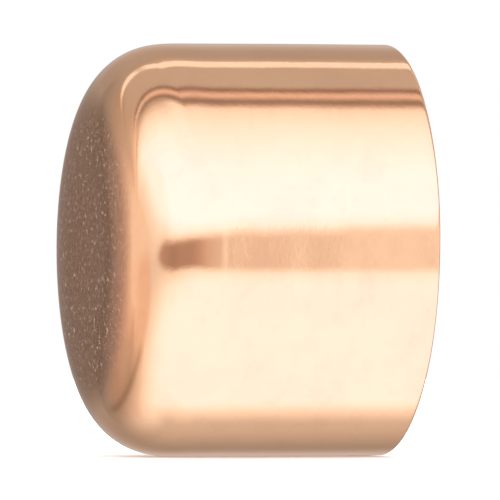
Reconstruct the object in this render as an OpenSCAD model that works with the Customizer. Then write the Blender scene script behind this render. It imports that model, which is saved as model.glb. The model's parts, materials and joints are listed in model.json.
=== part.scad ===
// End-feed capillary pipe cap: one copper cup, deep drawn from a single round blank.
// The cup's axis is X. The socket opens towards +X at x = 0, and the closed end is
// at x = -cap_length.

/* [Tube and wall] */
// Outside diameter of the tube that the cap closes
tube_od = 28; // [26:1:42]
// Gap between tube and socket that draws the solder in, across the diameter
socket_gap = 0.13; // [0.06:0.01:0.2]
// Thickness of the copper, the same all over the cup
wall = 0.935; // [0.7:0.005:1.2]

/* [Cup] */
// Length over all, from the middle of the closed end to the rim
cap_length = 22.4; // [20:0.1:45]
// Outside radius of the shoulder, between the closed end and the skirt
shoulder_r = 5.1; // [3:0.1:6]
// Outside radius of the shallow crown, between the flat and the shoulder
crown_r = 39.1; // [30:0.1:80]
// Radius of the flat in the middle of the closed end
flat_r = 4.7; // [1:0.1:6.5]

/* [Rim] */
// Radius that rounds the rim's outer edge
rim_round = 0.24; // [0.1:0.01:0.3]
// Width and depth of the 45 degree deburr on the mouth's inner edge
mouth_deburr = 0.15; // [0.05:0.01:0.3]

/* [Hidden] */
$fn = 180;

copper = [0.85, 0.53, 0.38];
socket_r = (tube_od + socket_gap) / 2;
skirt_r = socket_r + wall;

// The angle that the crown turns through before the shoulder takes over, tangent to it.
crown_angle = asin((skirt_r - shoulder_r - flat_r) / (crown_r - shoulder_r));
shoulder_centre = [skirt_r - shoulder_r, crown_r - (crown_r - shoulder_r) * cos(crown_angle)];

// Half section of the cup's outer form, filled, and shrunk by inset on every side but
// the rim. X is the distance from the axis and Y the height above the closed end.
module cup_section(inset) {
    crown_width = (crown_r - inset) * sin(crown_angle);

    translate([0, inset])
        square([flat_r, shoulder_centre[1] - inset]);
    intersection() {
        translate([flat_r, crown_r])
            circle(crown_r - inset);
        translate([flat_r, 0])
            square([crown_width, shoulder_centre[1]]);
    }
    translate(shoulder_centre)
        circle(shoulder_r - inset);
    translate([0, shoulder_centre[1]])
        square([skirt_r - inset, cap_length - shoulder_centre[1]]);
}

// What the rounding takes off the rim's outer corner.
module rounding() {
    translate([skirt_r - rim_round, cap_length - rim_round])
        difference() {
            square(2 * rim_round);
            circle(rim_round);
        }
}

// What the deburring takes off the mouth's inner corner.
module deburring() {
    translate([socket_r, cap_length])
        polygon(mouth_deburr * [[-1, -2], [2, 1], [-1, 1]]);
}

module cap_shell() {
    color(copper)
        rotate([0, 90, 0])
            translate([0, 0, -cap_length])
                rotate_extrude()
                    difference() {
                        cup_section(0);
                        cup_section(wall);
                        rounding();
                        deburring();
                    }
}

cap_shell();
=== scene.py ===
import json
import math

import bmesh
import bpy
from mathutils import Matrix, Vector, noise


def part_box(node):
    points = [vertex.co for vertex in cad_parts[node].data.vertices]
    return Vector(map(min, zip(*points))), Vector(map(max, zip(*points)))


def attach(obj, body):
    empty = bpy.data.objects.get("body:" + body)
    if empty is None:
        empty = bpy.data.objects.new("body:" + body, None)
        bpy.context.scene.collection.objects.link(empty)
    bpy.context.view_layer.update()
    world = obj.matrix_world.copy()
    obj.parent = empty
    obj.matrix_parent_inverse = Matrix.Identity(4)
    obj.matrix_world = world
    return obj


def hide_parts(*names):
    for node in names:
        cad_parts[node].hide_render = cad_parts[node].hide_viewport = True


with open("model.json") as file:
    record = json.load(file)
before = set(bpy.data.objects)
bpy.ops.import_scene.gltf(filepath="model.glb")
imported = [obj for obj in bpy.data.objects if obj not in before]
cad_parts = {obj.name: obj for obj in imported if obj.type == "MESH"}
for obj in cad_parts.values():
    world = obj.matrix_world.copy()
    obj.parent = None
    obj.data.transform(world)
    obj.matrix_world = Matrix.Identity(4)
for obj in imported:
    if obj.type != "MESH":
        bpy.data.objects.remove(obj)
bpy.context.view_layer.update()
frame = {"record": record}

# ------------------------------------------------------------------ sizes
# The cup's axis is X. The mouth's rim is at x = 0 and the closed end at x = -LENGTH.
MM = 0.001
low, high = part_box("cap_shell")
LENGTH = high.x - low.x
SKIRT_R = (high.y - low.y) / 2
sockets = [m for m in frame["record"]["mounts"] if m["name"] == "socket"]
SOCKET_R = sockets[0]["dims"]["r_mm"] * MM
WALL = SKIRT_R - SOCKET_R

# The curves of the closed end and the rim, as in the CAD model.
FLAT_R = 4.7 * MM
CROWN_R = 39.1 * MM
SHOULDER_R = 5.1 * MM
RIM_ROUND = 0.24 * MM
MOUTH_DEBURR = 0.15 * MM
CROWN_ANGLE = math.asin((SKIRT_R - SHOULDER_R - FLAT_R) / (CROWN_R - SHOULDER_R))
SHOULDER_DEPTH = CROWN_R - (CROWN_R - SHOULDER_R) * math.cos(CROWN_ANGLE)

# How far before and after a point the outline's direction is averaged.
EASING = 1.4 * MM

# How finely the cup is meshed: points around the axis, and steps along the outline.
SEGMENTS = 320
OUTSIDE_STEP = 0.24 * MM
INSIDE_STEP = 0.432 * MM
RIM_STEP = 0.08 * MM
EDGE_STEP = 0.04 * MM


# ------------------------------------------------------------------ the cup's section
def line(start, end, step):
    """Evenly spaced points from start to end, without end."""
    count = max(1, round(math.dist(start, end) / step))
    return [
        tuple(a + (b - a) * k / count for a, b in zip(start, end))
        for k in range(count)
    ]


def arc(centre, radius, first, last, step):
    """Points on an arc between two angles, without its last. An angle of 0 points to -X, and
    one of 90 degrees away from the axis."""
    count = max(1, round(radius * (last - first) / step))
    angles = [first + (last - first) * k / count for k in range(count)]
    return [
        (centre[0] - radius * math.cos(a), centre[1] + radius * math.sin(a))
        for a in angles
    ]


def eased(points, reach):
    """Averages the outline's direction over reach steps on both sides, so that each bend
    starts and stops softly, as in pressed metal. Keeps the outline's two ends."""
    steps = [(b[0] - a[0], b[1] - a[1]) for a, b in zip(points, points[1:])]
    turns = [math.atan2(dx, dr) for dx, dr in steps]
    x, r = points[0]
    result = [(x, r)]
    for k, (dx, dr) in enumerate(steps):
        near = turns[max(0, k - reach):k + reach + 1]
        turn = sum(near) / len(near)
        x += math.hypot(dx, dr) * math.sin(turn)
        r += math.hypot(dx, dr) * math.cos(turn)
        result.append((x, r))
    start = points[0][0]
    end, end_r = points[-1]
    along, across = (end - start) / (x - start), end_r / r
    return [(start + (px - start) * along, pr * across) for px, pr in result]


def wall_outline(inset, end, step):
    """From the axis at the closed end to end: the outside, or the inside at inset = WALL."""
    x = inset - LENGTH
    crown_centre = (CROWN_R - LENGTH, FLAT_R)
    shoulder_centre = (SHOULDER_DEPTH - LENGTH, SKIRT_R - SHOULDER_R)
    points = (
        line((x, 0), (x, FLAT_R), step)
        + arc(crown_centre, CROWN_R - inset, 0, CROWN_ANGLE, step)
        + arc(shoulder_centre, SHOULDER_R - inset, CROWN_ANGLE, math.pi / 2, step)
        + line((shoulder_centre[0], SKIRT_R - inset), end, step)
        + [end]
    )
    return eased(points, round(EASING / step))


def section():
    """The wall's outline as (x, radius, inside), from the axis at the closed end, over the rim
    and back to the axis inside. inside is 0 up to the rim, and 1 from the deburr inwards."""
    rim_centre = (-RIM_ROUND, SKIRT_R - RIM_ROUND)
    deburr_out = (0, SOCKET_R + MOUTH_DEBURR)
    deburr_in = (-MOUTH_DEBURR, SOCKET_R)
    outside = (
        wall_outline(0, (-RIM_ROUND, SKIRT_R), OUTSIDE_STEP)[:-1]
        + arc(rim_centre, RIM_ROUND, math.pi / 2, math.pi, EDGE_STEP)
        + line((0, SKIRT_R - RIM_ROUND), deburr_out, RIM_STEP)
    )
    within = (
        line(deburr_out, deburr_in, EDGE_STEP)
        + wall_outline(WALL, deburr_in, INSIDE_STEP)[::-1]
    )
    return [(x, r, 0.0) for x, r in outside] + [(x, r, 1.0) for x, r in within]


# ------------------------------------------------------------------ the mesh
def unevenness(x, y, z):
    """How far the drawn metal stands off its true form here, in metres."""
    broad_size, broad_height = 7 * MM, 0.006 * MM
    fine_size, fine_height = broad_size / 2.3, 0.0015 * MM
    broad_shift = Vector((3.1, 7.7, 1.3))
    fine_shift = Vector((11.2, 4.9, 8.4))
    place = Vector((x, y, z))
    broad = noise.noise(place / broad_size + broad_shift)
    fine = noise.noise(place / fine_size + fine_shift)
    return broad_height * broad + fine_height * fine


def draw_in(x):
    """How much smaller the skirt's radius gets towards the mouth, in metres: it eases into an
    even slope."""
    start = -9 * MM
    slope = 0.0052
    easing = 3 * MM
    past = max(0, x - start)
    return slope * (past - easing / 2 if past > easing else past * past / (2 * easing))


def slant(x, z):
    """How far the wall shifts along X because the rim is cut slightly out of square: out at the
    top and in at the bottom, and less and less away from the rim."""
    at_rim = 0.2 * MM
    reach = 0.6 * LENGTH
    return at_rim * (z / SKIRT_R) * max(0, 1 + x / reach)


def rim_unevenness(x, angle):
    """How far the rim's cut edge wanders along X, in metres. It fades away from the rim."""
    waves, wave_height = 2.1, 0.012 * MM
    nicks, nick_height = 9, 0.006 * MM
    reach = 1.5 * MM
    around = Vector((math.cos(angle), math.sin(angle), 0.7))
    wander = wave_height * noise.noise(around * waves) + nick_height * noise.noise(around * nicks)
    return wander * max(0, 1 + x / reach)


def normals(points):
    """The outline's normals, as (x, radius) pairs that point away from the metal."""
    result = []
    for k in range(len(points)):
        before, after = points[max(k - 1, 0)], points[min(k + 1, len(points) - 1)]
        dx, dr = after[0] - before[0], after[1] - before[1]
        size = math.hypot(dx, dr)
        result.append((-dr / size, dx / size))
    return result


def cap_mesh():
    """The whole wall as one closed surface, turned about the X axis: quads, with triangles
    around its two poles."""
    points = section()
    outward = normals(points)
    mesh = bmesh.new()
    inside_layer = mesh.verts.layers.float.new("inside")

    def vertex(k, angle):
        (x, r, inside), (nx, nr) = points[k], outward[k]
        c, s = math.cos(angle), math.sin(angle)
        lift = unevenness(x, r * c, r * s)
        wander = rim_unevenness(x, angle)
        r += lift * nr - draw_in(x)
        x += lift * nx + wander + slant(x, r * s)
        made = mesh.verts.new((x, r * c, r * s))
        made[inside_layer] = inside
        return made

    poles = [vertex(0, 0), vertex(len(points) - 1, 0)]
    angles = [2 * math.pi * k / SEGMENTS for k in range(SEGMENTS)]
    rings = [[vertex(k, a) for a in angles] for k in range(1, len(points) - 1)]
    for j in range(SEGMENTS):
        after = (j + 1) % SEGMENTS
        mesh.faces.new((poles[0], rings[0][after], rings[0][j]))
        mesh.faces.new((poles[1], rings[-1][j], rings[-1][after]))
        for first, second in zip(rings, rings[1:]):
            mesh.faces.new((first[j], first[after], second[after], second[j]))
    bmesh.ops.recalc_face_normals(mesh, faces=mesh.faces)
    data = bpy.data.meshes.new("cap")
    mesh.to_mesh(data)
    mesh.free()
    data.shade_smooth()
    return data


# ------------------------------------------------------------------ shader sums
class Value:
    """A number in a node tree. Arithmetic on it adds the Math nodes."""

    def __init__(self, tree, socket):
        self.tree = tree
        self.socket = socket

    def math(self, operation, *others):
        """The Math node's operation on this and the others, in that order."""
        node = self.tree.nodes.new("ShaderNodeMath")
        node.operation = operation
        for slot, value in zip(node.inputs, (self,) + others):
            feed(self.tree, slot, value)
        return Value(self.tree, node.outputs[0])

    def __add__(self, other):
        return self.math("ADD", other)

    def __sub__(self, other):
        return self.math("SUBTRACT", other)

    def __mul__(self, other):
        return self.math("MULTIPLY", other)

    def __truediv__(self, other):
        return self.math("DIVIDE", other)

    def __neg__(self):
        return self * -1

    def exponent(self):
        return self.math("EXPONENT")

    def absolute(self):
        return self.math("ABSOLUTE")

    def at_least(self, other):
        return self.math("MAXIMUM", other)

    def at_most(self, other):
        return self.math("MINIMUM", other)

    def towards(self, other, share):
        """Goes from this to other as share goes from 0 to 1."""
        return self + (other - self) * share

    def ramp(self, start, end, first=0.0, last=1.0):
        """Eases from first, where this is start, to last, where this is end."""
        node = self.tree.nodes.new("ShaderNodeMapRange")
        node.interpolation_type = "SMOOTHSTEP"
        for slot, value in zip(node.inputs, (self, start, end, first, last)):
            feed(self.tree, slot, value)
        return Value(self.tree, node.outputs[0])

    def peak(self, centre, width):
        """1 at centre, and fades away on both sides."""
        off = (self - centre) * (1 / width)
        return (-(off * off)).exponent()

    def window(self, start, end, soft):
        """1 between start and end, with edges that are soft wide."""
        rise = self.ramp(start - soft / 2, start + soft / 2)
        return rise * self.ramp(end - soft / 2, end + soft / 2, 1.0, 0.0)


def feed(tree, slot, value):
    """Puts a Value, a socket or a plain value into an input."""
    if isinstance(value, Value):
        tree.links.new(value.socket, slot)
    elif isinstance(value, bpy.types.NodeSocket):
        tree.links.new(value, slot)
    else:
        slot.default_value = value


def blend(tree, share, first, second):
    """A colour that goes from first to second as share goes from 0 to 1."""
    node = tree.nodes.new("ShaderNodeMix")
    node.data_type = "RGBA"
    feed(tree, node.inputs["Factor"], share)
    colours = [slot for slot in node.inputs if slot.type == "RGBA"]
    for slot, colour in zip(colours, (first, second)):
        feed(tree, slot, colour)
    return next(slot for slot in node.outputs if slot.type == "RGBA")


def scaled(tree, colour, strength):
    """A colour times a number."""
    node = tree.nodes.new("ShaderNodeVectorMath")
    node.operation = "SCALE"
    feed(tree, node.inputs[0], colour)
    feed(tree, node.inputs["Scale"], strength)
    return node.outputs[0]


def split(tree, socket):
    """The three parts of a vector."""
    node = tree.nodes.new("ShaderNodeSeparateXYZ")
    tree.links.new(socket, node.inputs[0])
    return [Value(tree, out) for out in node.outputs]


def grain(tree, place, stretch, detail=3.0, roughness=0.55):
    """Noise from 0 to 1 at the object's own place. stretch is the size of a grain along X, Y
    and Z, in millimetres."""
    mapping = tree.nodes.new("ShaderNodeMapping")
    tree.links.new(place, mapping.inputs["Vector"])
    mapping.inputs["Scale"].default_value = [1 / (s * MM) for s in stretch]
    node = tree.nodes.new("ShaderNodeTexNoise")
    node.inputs["Scale"].default_value = 1.0
    node.inputs["Detail"].default_value = detail
    node.inputs["Roughness"].default_value = roughness
    tree.links.new(mapping.outputs[0], node.inputs["Vector"])
    return Value(tree, node.outputs["Fac"])


# ------------------------------------------------------------------ the copper
BRIGHT = (0.93, 0.56, 0.345, 1)
DULL = (0.78, 0.44, 0.28, 1)
OXIDE = (0.60, 0.27, 0.16, 1)
DUST = (0.90, 0.74, 0.64, 1)
# The tint of reflections at a grazing angle.
EDGE_TINT = (1.0, 0.93, 0.88, 1)

# The lowest and highest roughness of each kind of surface.
BRIGHT_ROUGH = (0.05, 0.09)
MATTE_ROUGH = (0.08, 0.16)
INSIDE_ROUGH = (0.2, 0.3)


def matte_zone(tree, place, inside):
    """1 on the closed end's outer face up to its shoulder, and 0 elsewhere. Its edge wanders."""
    end_depth, clear_depth = 0.4 * MM, 1.2 * MM
    inner_edge, outer_edge = 9 * MM, 12.5 * MM
    wander = 1.5 * MM
    x, y, z = split(tree, place)
    outside = inside.ramp(0.4, 0.6, 1.0, 0.0)
    on_end = (x + LENGTH).ramp(clear_depth, end_depth) * outside
    radius = (y * y + z * z).math("SQRT") + grain(tree, place, (1.5, 1.5, 1.5)) * wander
    return on_end * radius.ramp(inner_edge, outer_edge, 1.0, 0.0)


def copper_colour(tree, place, inside, patches, matte, speckle, dust):
    """Bright copper with faint smudges, a darker stained end with dust on it, and oxide inside.
    Each share is the most that one layer covers of the layers below it."""
    smudge_share, patch_share, stain_share, dust_share = 0.25, 0.06, 0.35, 0.7
    least_oxide, more_oxide = 0.25, 0.35
    smudge = grain(tree, place, (5, 5, 5), 4.0, 0.6)
    oxidised = inside * (smudge.ramp(0.3, 0.7) * more_oxide + least_oxide)
    colour = blend(tree, smudge.ramp(0.35, 0.75) * smudge_share, BRIGHT, DULL)
    colour = blend(tree, patches.ramp(0.5, 0.68) * patch_share, colour, OXIDE)
    colour = blend(tree, matte, colour, DULL)
    colour = blend(tree, matte * speckle.ramp(0.42, 0.6) * stain_share, colour, OXIDE)
    colour = blend(tree, dust * dust_share, colour, DUST)
    return blend(tree, oxidised, colour, OXIDE)


def copper_height(tree, place, matte, speckle, dust):
    """The bump of the metal in millimetres: scuffs and dust where it is matte, and faint drawn
    rings, ripples and swells elsewhere."""
    ring_height, ripple_height, swell_height = 0.0022, 0.0018, 0.014
    scuff_height, dust_height = 0.0025, 0.008
    rings = grain(tree, place, (0.9, 2.2, 2.2), 3.0, 0.6) * ring_height
    ripple = grain(tree, place, (0.3, 0.4, 0.4), 2.0, 0.6) * ripple_height
    swell = grain(tree, place, (3, 5, 5), 1.0, 0.5) * swell_height
    skin = (rings + ripple + swell) * (-matte + 1)
    return skin + speckle * matte * scuff_height + dust * dust_height


def copper_material():
    """Drawn copper: bright outside, matte with pale specks on the closed end, dull inside."""
    material = bpy.data.materials.new("copper")
    material.use_nodes = True
    tree = material.node_tree
    shader = tree.nodes["Principled BSDF"]
    shader.inputs["Specular Tint"].default_value = EDGE_TINT
    place = tree.nodes.new("ShaderNodeTexCoord").outputs["Object"]
    attribute = tree.nodes.new("ShaderNodeAttribute")
    attribute.attribute_name = "inside"
    inside = Value(tree, attribute.outputs["Fac"])

    matte = matte_zone(tree, place, inside)
    patches = grain(tree, place, (1.6, 2.4, 2.4), 3.0, 0.6)
    speckle = grain(tree, place, (0.4, 0.45, 0.4), 4.0, 0.8)
    dust = matte * grain(tree, place, (2, 0.6, 0.4), 3.0, 0.75).ramp(0.57, 0.71)
    colour = copper_colour(tree, place, inside, patches, matte, speckle, dust)
    feed(tree, shader.inputs["Base Color"], colour)

    # Dust hides a part of the metal, and haze between the stains hides a little.
    dust_cover, haze_cover = 0.28, 0.05
    cover = dust * dust_cover + matte * speckle.ramp(0.6, 0.42) * haze_cover
    feed(tree, shader.inputs["Metallic"], -cover + 1)

    rough = patches.ramp(0.3, 0.75, *BRIGHT_ROUGH)
    rough = rough.towards(speckle.ramp(0.3, 0.7, *MATTE_ROUGH), matte)
    rough = rough.towards(patches.ramp(0.3, 0.7, *INSIDE_ROUGH), inside)
    feed(tree, shader.inputs["Roughness"], rough)

    bump = tree.nodes.new("ShaderNodeBump")
    bump.inputs["Distance"].default_value = MM
    feed(tree, bump.inputs["Height"], copper_height(tree, place, matte, speckle, dust))
    tree.links.new(bump.outputs["Normal"], shader.inputs["Normal"])
    return material


# ------------------------------------------------------------------ studio
# What the metal reflects, by direction. x, y and z are the parts of a direction, from -1 to 1:
# x is towards the mouth, -x towards the closed end, -y towards the camera's side and z up.
# In a ramp, the first two numbers are where it starts and ends, in degrees for an angle, and
# the last two are its values there, or 0 and 1 if left out. A level of 1 is plain white. Left
# and right are as the camera sees them.
WHITE = (1, 1, 1, 1)
COOL = (1, 1, 2, 1)
WARM = (1.0, 0.76, 0.69, 1)
DIM_TINT = (1.0, 0.95, 0.91, 1)
AMBER_ABOVE = (1.0, 0.89, 0.80, 1)
AMBER_BELOW = (1.0, 0.82, 0.72, 1)
DIFFUSE_LIGHT = (2, 2, 2, 1)


def overhead(x, y, z):
    """The level of the upper half: a broad softbox in front, and behind its back edge a roof
    with two dark slits and a strip light, plain at the far left. Also returns where the slits
    are. Places are counted on a level ceiling, in heights back from the cap. The slits and the
    strip bend backwards at the left."""
    softbox_level, softbox_drop, roof_level = 1.74, 0.72, 0.62
    near_slit, far_slit, between = 0.02, 0.19, 0.105
    near_depth, far_depth, between_level = 0.26, 0.28, 0.34
    strip_start, strip_end = 0.67, 0.86
    notch, notch_depth = -0.24, 0.6
    height = z.at_least(0.02)
    corner = (-x - height * 0.05).at_least(0.0)
    back = (y - corner * 0.68) / height
    strip_back = (y - corner) / height

    inward = back.at_most(0.0)
    softbox = (inward * 3).exponent() * -softbox_drop + softbox_level
    softbox = softbox - (inward * 4.5).exponent() * x.ramp(-0.2, -0.45, 0.0, 0.65)

    strip = strip_back.window(strip_start, strip_end, 0.05) * x.ramp(-0.6, -0.1, 0.75, 0.58)
    strip = strip * x.ramp(-0.6, -0.48) * (x.peak(notch, 0.05) * -notch_depth + 1)
    slits = back.peak(near_slit, 0.04) * near_depth + back.peak(far_slit, 0.035) * far_depth
    roof = back.peak(between, 0.04) * between_level - slits + strip
    roof = roof - back.ramp(0.8, 1.1, 0.0, 0.12) + roof_level
    roof = roof.towards(x.ramp(-0.7, -0.82, 0.85, 1.12), x.ramp(-0.64, -0.78))
    return softbox.towards(roof, back.ramp(-0.1, -0.01)), back.window(-0.04, 0.24, 0.08)


def under_end(x, y, z):
    """The level under the closed end: brighter the lower and the nearer the camera's side."""
    lowness = -z - y * 0.6
    middle = lowness.ramp(-0.2, 0.9, 0.45, 1.6)
    left = lowness.ramp(0.1, 0.8, 0.97, 1.6)
    return middle.towards(left, x.ramp(-0.66, -0.86))


def under_skirt(around):
    """The level below the skirt: white in front and straight down, and dimmer behind."""
    below = -around
    return below.ramp(92, 116, 1.6, 0.76) - below.ramp(112, 150, 0.0, 0.34)


def backdrop(x, z):
    """The level behind the cap: dim, and bright to the left. At the cap's own height it starts
    darker and brightens faster."""
    bright = 1.04
    aside = z.absolute().ramp(0.04, 0.22)
    rise = aside * -1.55 + 2.5
    level = (-x - 0.315).at_least(0.0) * rise + aside * 0.2 + 0.15
    level = level.at_most(bright).at_least(x.ramp(-0.65, -0.8, 0.0, bright))
    return level + x.ramp(-0.32, -0.28, 0.0, 0.08) + x.ramp(-0.2, 0.3, 0.0, 0.2)


def crease(x, y, z):
    """1 along a thin shadow, curved like a bowl, low behind the closed end. 0 elsewhere."""
    middle, bottom, curvature = -0.69, -0.43, 1.2
    rise = (x - middle).math("POWER", 2) * curvature
    return (z - rise).peak(bottom, 0.05) * x.window(-0.85, -0.36, 0.1) * y.ramp(0.25, 0.4)


def dark_gap(x, y, z):
    """Where the dark gap at the camera's height is, from 0 to 1, and its level, which gets
    lighter to the right. over and under are the height z, less how far the gap's upper and
    lower edge have moved up there."""
    far_end = x.ramp(0.258, 0.284)
    pinch = y.ramp(-0.45, -0.05, 0.0, 0.08)
    over = z - x * 0.08 - far_end * 0.047 + pinch
    under = z - x.ramp(0.1, -0.4, 0.0, 0.02) - x.ramp(-0.75, -0.95, 0.0, 0.035) - pinch
    core = over.ramp(0.2, 0.08) * under.ramp(-0.235, -0.145)
    fringe = over.ramp(0.31, 0.1) * under.ramp(-0.36, -0.14)
    gap = fringe.towards(core, 0.7) * y.ramp(-0.02, -0.32)
    gloom = x.ramp(-0.8, -1.0, 0.47, 0.59) + x.ramp(-0.77, -0.63, 0.0, 0.05)
    gloom = gloom + x.ramp(-0.45, 0.22, 0.0, 0.36) + x.peak(0.22, 0.025) * 0.2 + far_end * 0.2
    return gap, gloom


def room(x, y, z, around, turned):
    """The level of the whole room without its dark gap, and where the ceiling's slits are."""
    crease_depth = 0.3
    low_end = under_end(x, y, z)
    level = under_skirt(around).towards(low_end, x.ramp(-0.05, -0.5))
    upper, slits = overhead(x, y, z)
    level = level.towards(upper, z.ramp(-0.02, 0.02))
    level = level.towards(backdrop(x, z), turned.ramp(146, 166))
    level = level * (crease(x, y, z) * -crease_depth + 1)

    # The far left, where the upper and lower lights meet.
    high_end = (z - y * 0.3).ramp(0.0, 0.38, 1.05, 1.62)
    far_left = low_end.towards(high_end, z.ramp(-0.08, 0.02))
    return level.towards(far_left, x.ramp(-0.78, -0.92)), slits


def light_tint(tree, x, y, z, turned, level, slits, gap):
    """The light's colour: cool where it is brightest, and warm in the slits, the gap, the dim
    backdrop and the dimmer light behind the closed end."""
    blueness = (level - 1).at_least(0.0).math("POWER", 2) * 0.65
    warmth = slits * z.ramp(0.0, 0.1) * 0.8 + gap * level.ramp(1.1, 0.6)
    dimness = turned.ramp(100, 135) * level.ramp(0.9, 0.6) * x.ramp(-0.5, -0.3)
    amber = blend(tree, z.ramp(0.1, -0.1), AMBER_ABOVE, AMBER_BELOW)
    amber_share = x.ramp(-0.34, -0.46) * y.ramp(0.0, 0.2) * level.ramp(1.12, 0.98)
    amber_share = amber_share * z.absolute().ramp(0.35, 0.6, 1.0, 0.45)
    tint = blend(tree, blueness, WHITE, COOL)
    tint = blend(tree, warmth, tint, WARM)
    tint = blend(tree, dimness, tint, DIM_TINT)
    return blend(tree, amber_share, tint, amber)


def studio():
    """The world's light: the room above in reflections, plain white where the camera sees it,
    and a stronger plain white for all other light. around is the angle about the X axis: 0
    towards the camera's side, 90 straight up, -90 straight down and 180 behind."""
    world = bpy.data.worlds.new("studio")
    bpy.context.scene.world = world
    world.use_nodes = True
    tree = world.node_tree
    tree.nodes.clear()
    direction = tree.nodes.new("ShaderNodeTexCoord").outputs["Generated"]
    x, y, z = split(tree, direction)
    around = z.math("ARCTAN2", -y) * (180 / math.pi)
    turned = around.absolute()

    level, slits = room(x, y, z, around, turned)
    gap, gloom = dark_gap(x, y, z)
    level = level.towards(gloom, gap)
    seen = scaled(tree, light_tint(tree, x, y, z, turned, level, slits, gap), level)

    paths = tree.nodes.new("ShaderNodeLightPath")
    light = blend(tree, paths.outputs["Is Camera Ray"], DIFFUSE_LIGHT, WHITE)
    light = blend(tree, paths.outputs["Is Glossy Ray"], light, seen)
    background = tree.nodes.new("ShaderNodeBackground")
    feed(tree, background.inputs["Color"], light)
    output = tree.nodes.new("ShaderNodeOutputWorld")
    tree.links.new(background.outputs[0], output.inputs["Surface"])
    bpy.context.scene.view_settings.view_transform = "Standard"


def pale_floor():
    """A round white table top that the cap lies on. The metal doesn't reflect it."""
    radius = 0.6
    gap = 0.01 * MM
    material = bpy.data.materials.new("pale_floor")
    material.use_nodes = True
    shader = material.node_tree.nodes["Principled BSDF"]
    shader.inputs["Base Color"].default_value = (0.9, 0.9, 0.9, 1)
    shader.inputs["Roughness"].default_value = 0.8
    mesh = bmesh.new()
    bmesh.ops.create_circle(mesh, cap_ends=True, segments=64, radius=radius)
    data = bpy.data.meshes.new("pale_floor")
    mesh.to_mesh(data)
    mesh.free()
    data.materials.append(material)
    floor = bpy.data.objects.new("pale_floor", data)
    floor.location.z = -SKIRT_R - gap
    floor.visible_glossy = False
    bpy.context.scene.collection.objects.link(floor)


def camera():
    """Level with the axis and a little round towards the closed end, through a very long lens."""
    azimuth = math.radians(-15.4)
    aim = Vector((-0.452 * LENGTH, 0, 0))
    distance = 1.0
    view_width = 36.36 * MM
    back = Vector((math.sin(azimuth), -math.cos(azimuth), 0))
    data = bpy.data.cameras.new("camera")
    data.sensor_width = 36
    data.lens = data.sensor_width * distance / view_width
    data.clip_start = 0.1
    data.clip_end = 10
    made = bpy.data.objects.new("camera", data)
    made.location = aim + back * distance
    made.rotation_mode = "QUATERNION"
    made.rotation_quaternion = (-back).to_track_quat("-Z", "Y")
    bpy.context.scene.collection.objects.link(made)
    bpy.context.scene.camera = made


# ------------------------------------------------------------------ the scene
cap = bpy.data.objects.new("cap", cap_mesh())
bpy.context.scene.collection.objects.link(cap)
cap.data.materials.append(copper_material())
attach(cap, "root")
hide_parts("cap_shell")

studio()
pale_floor()
camera()
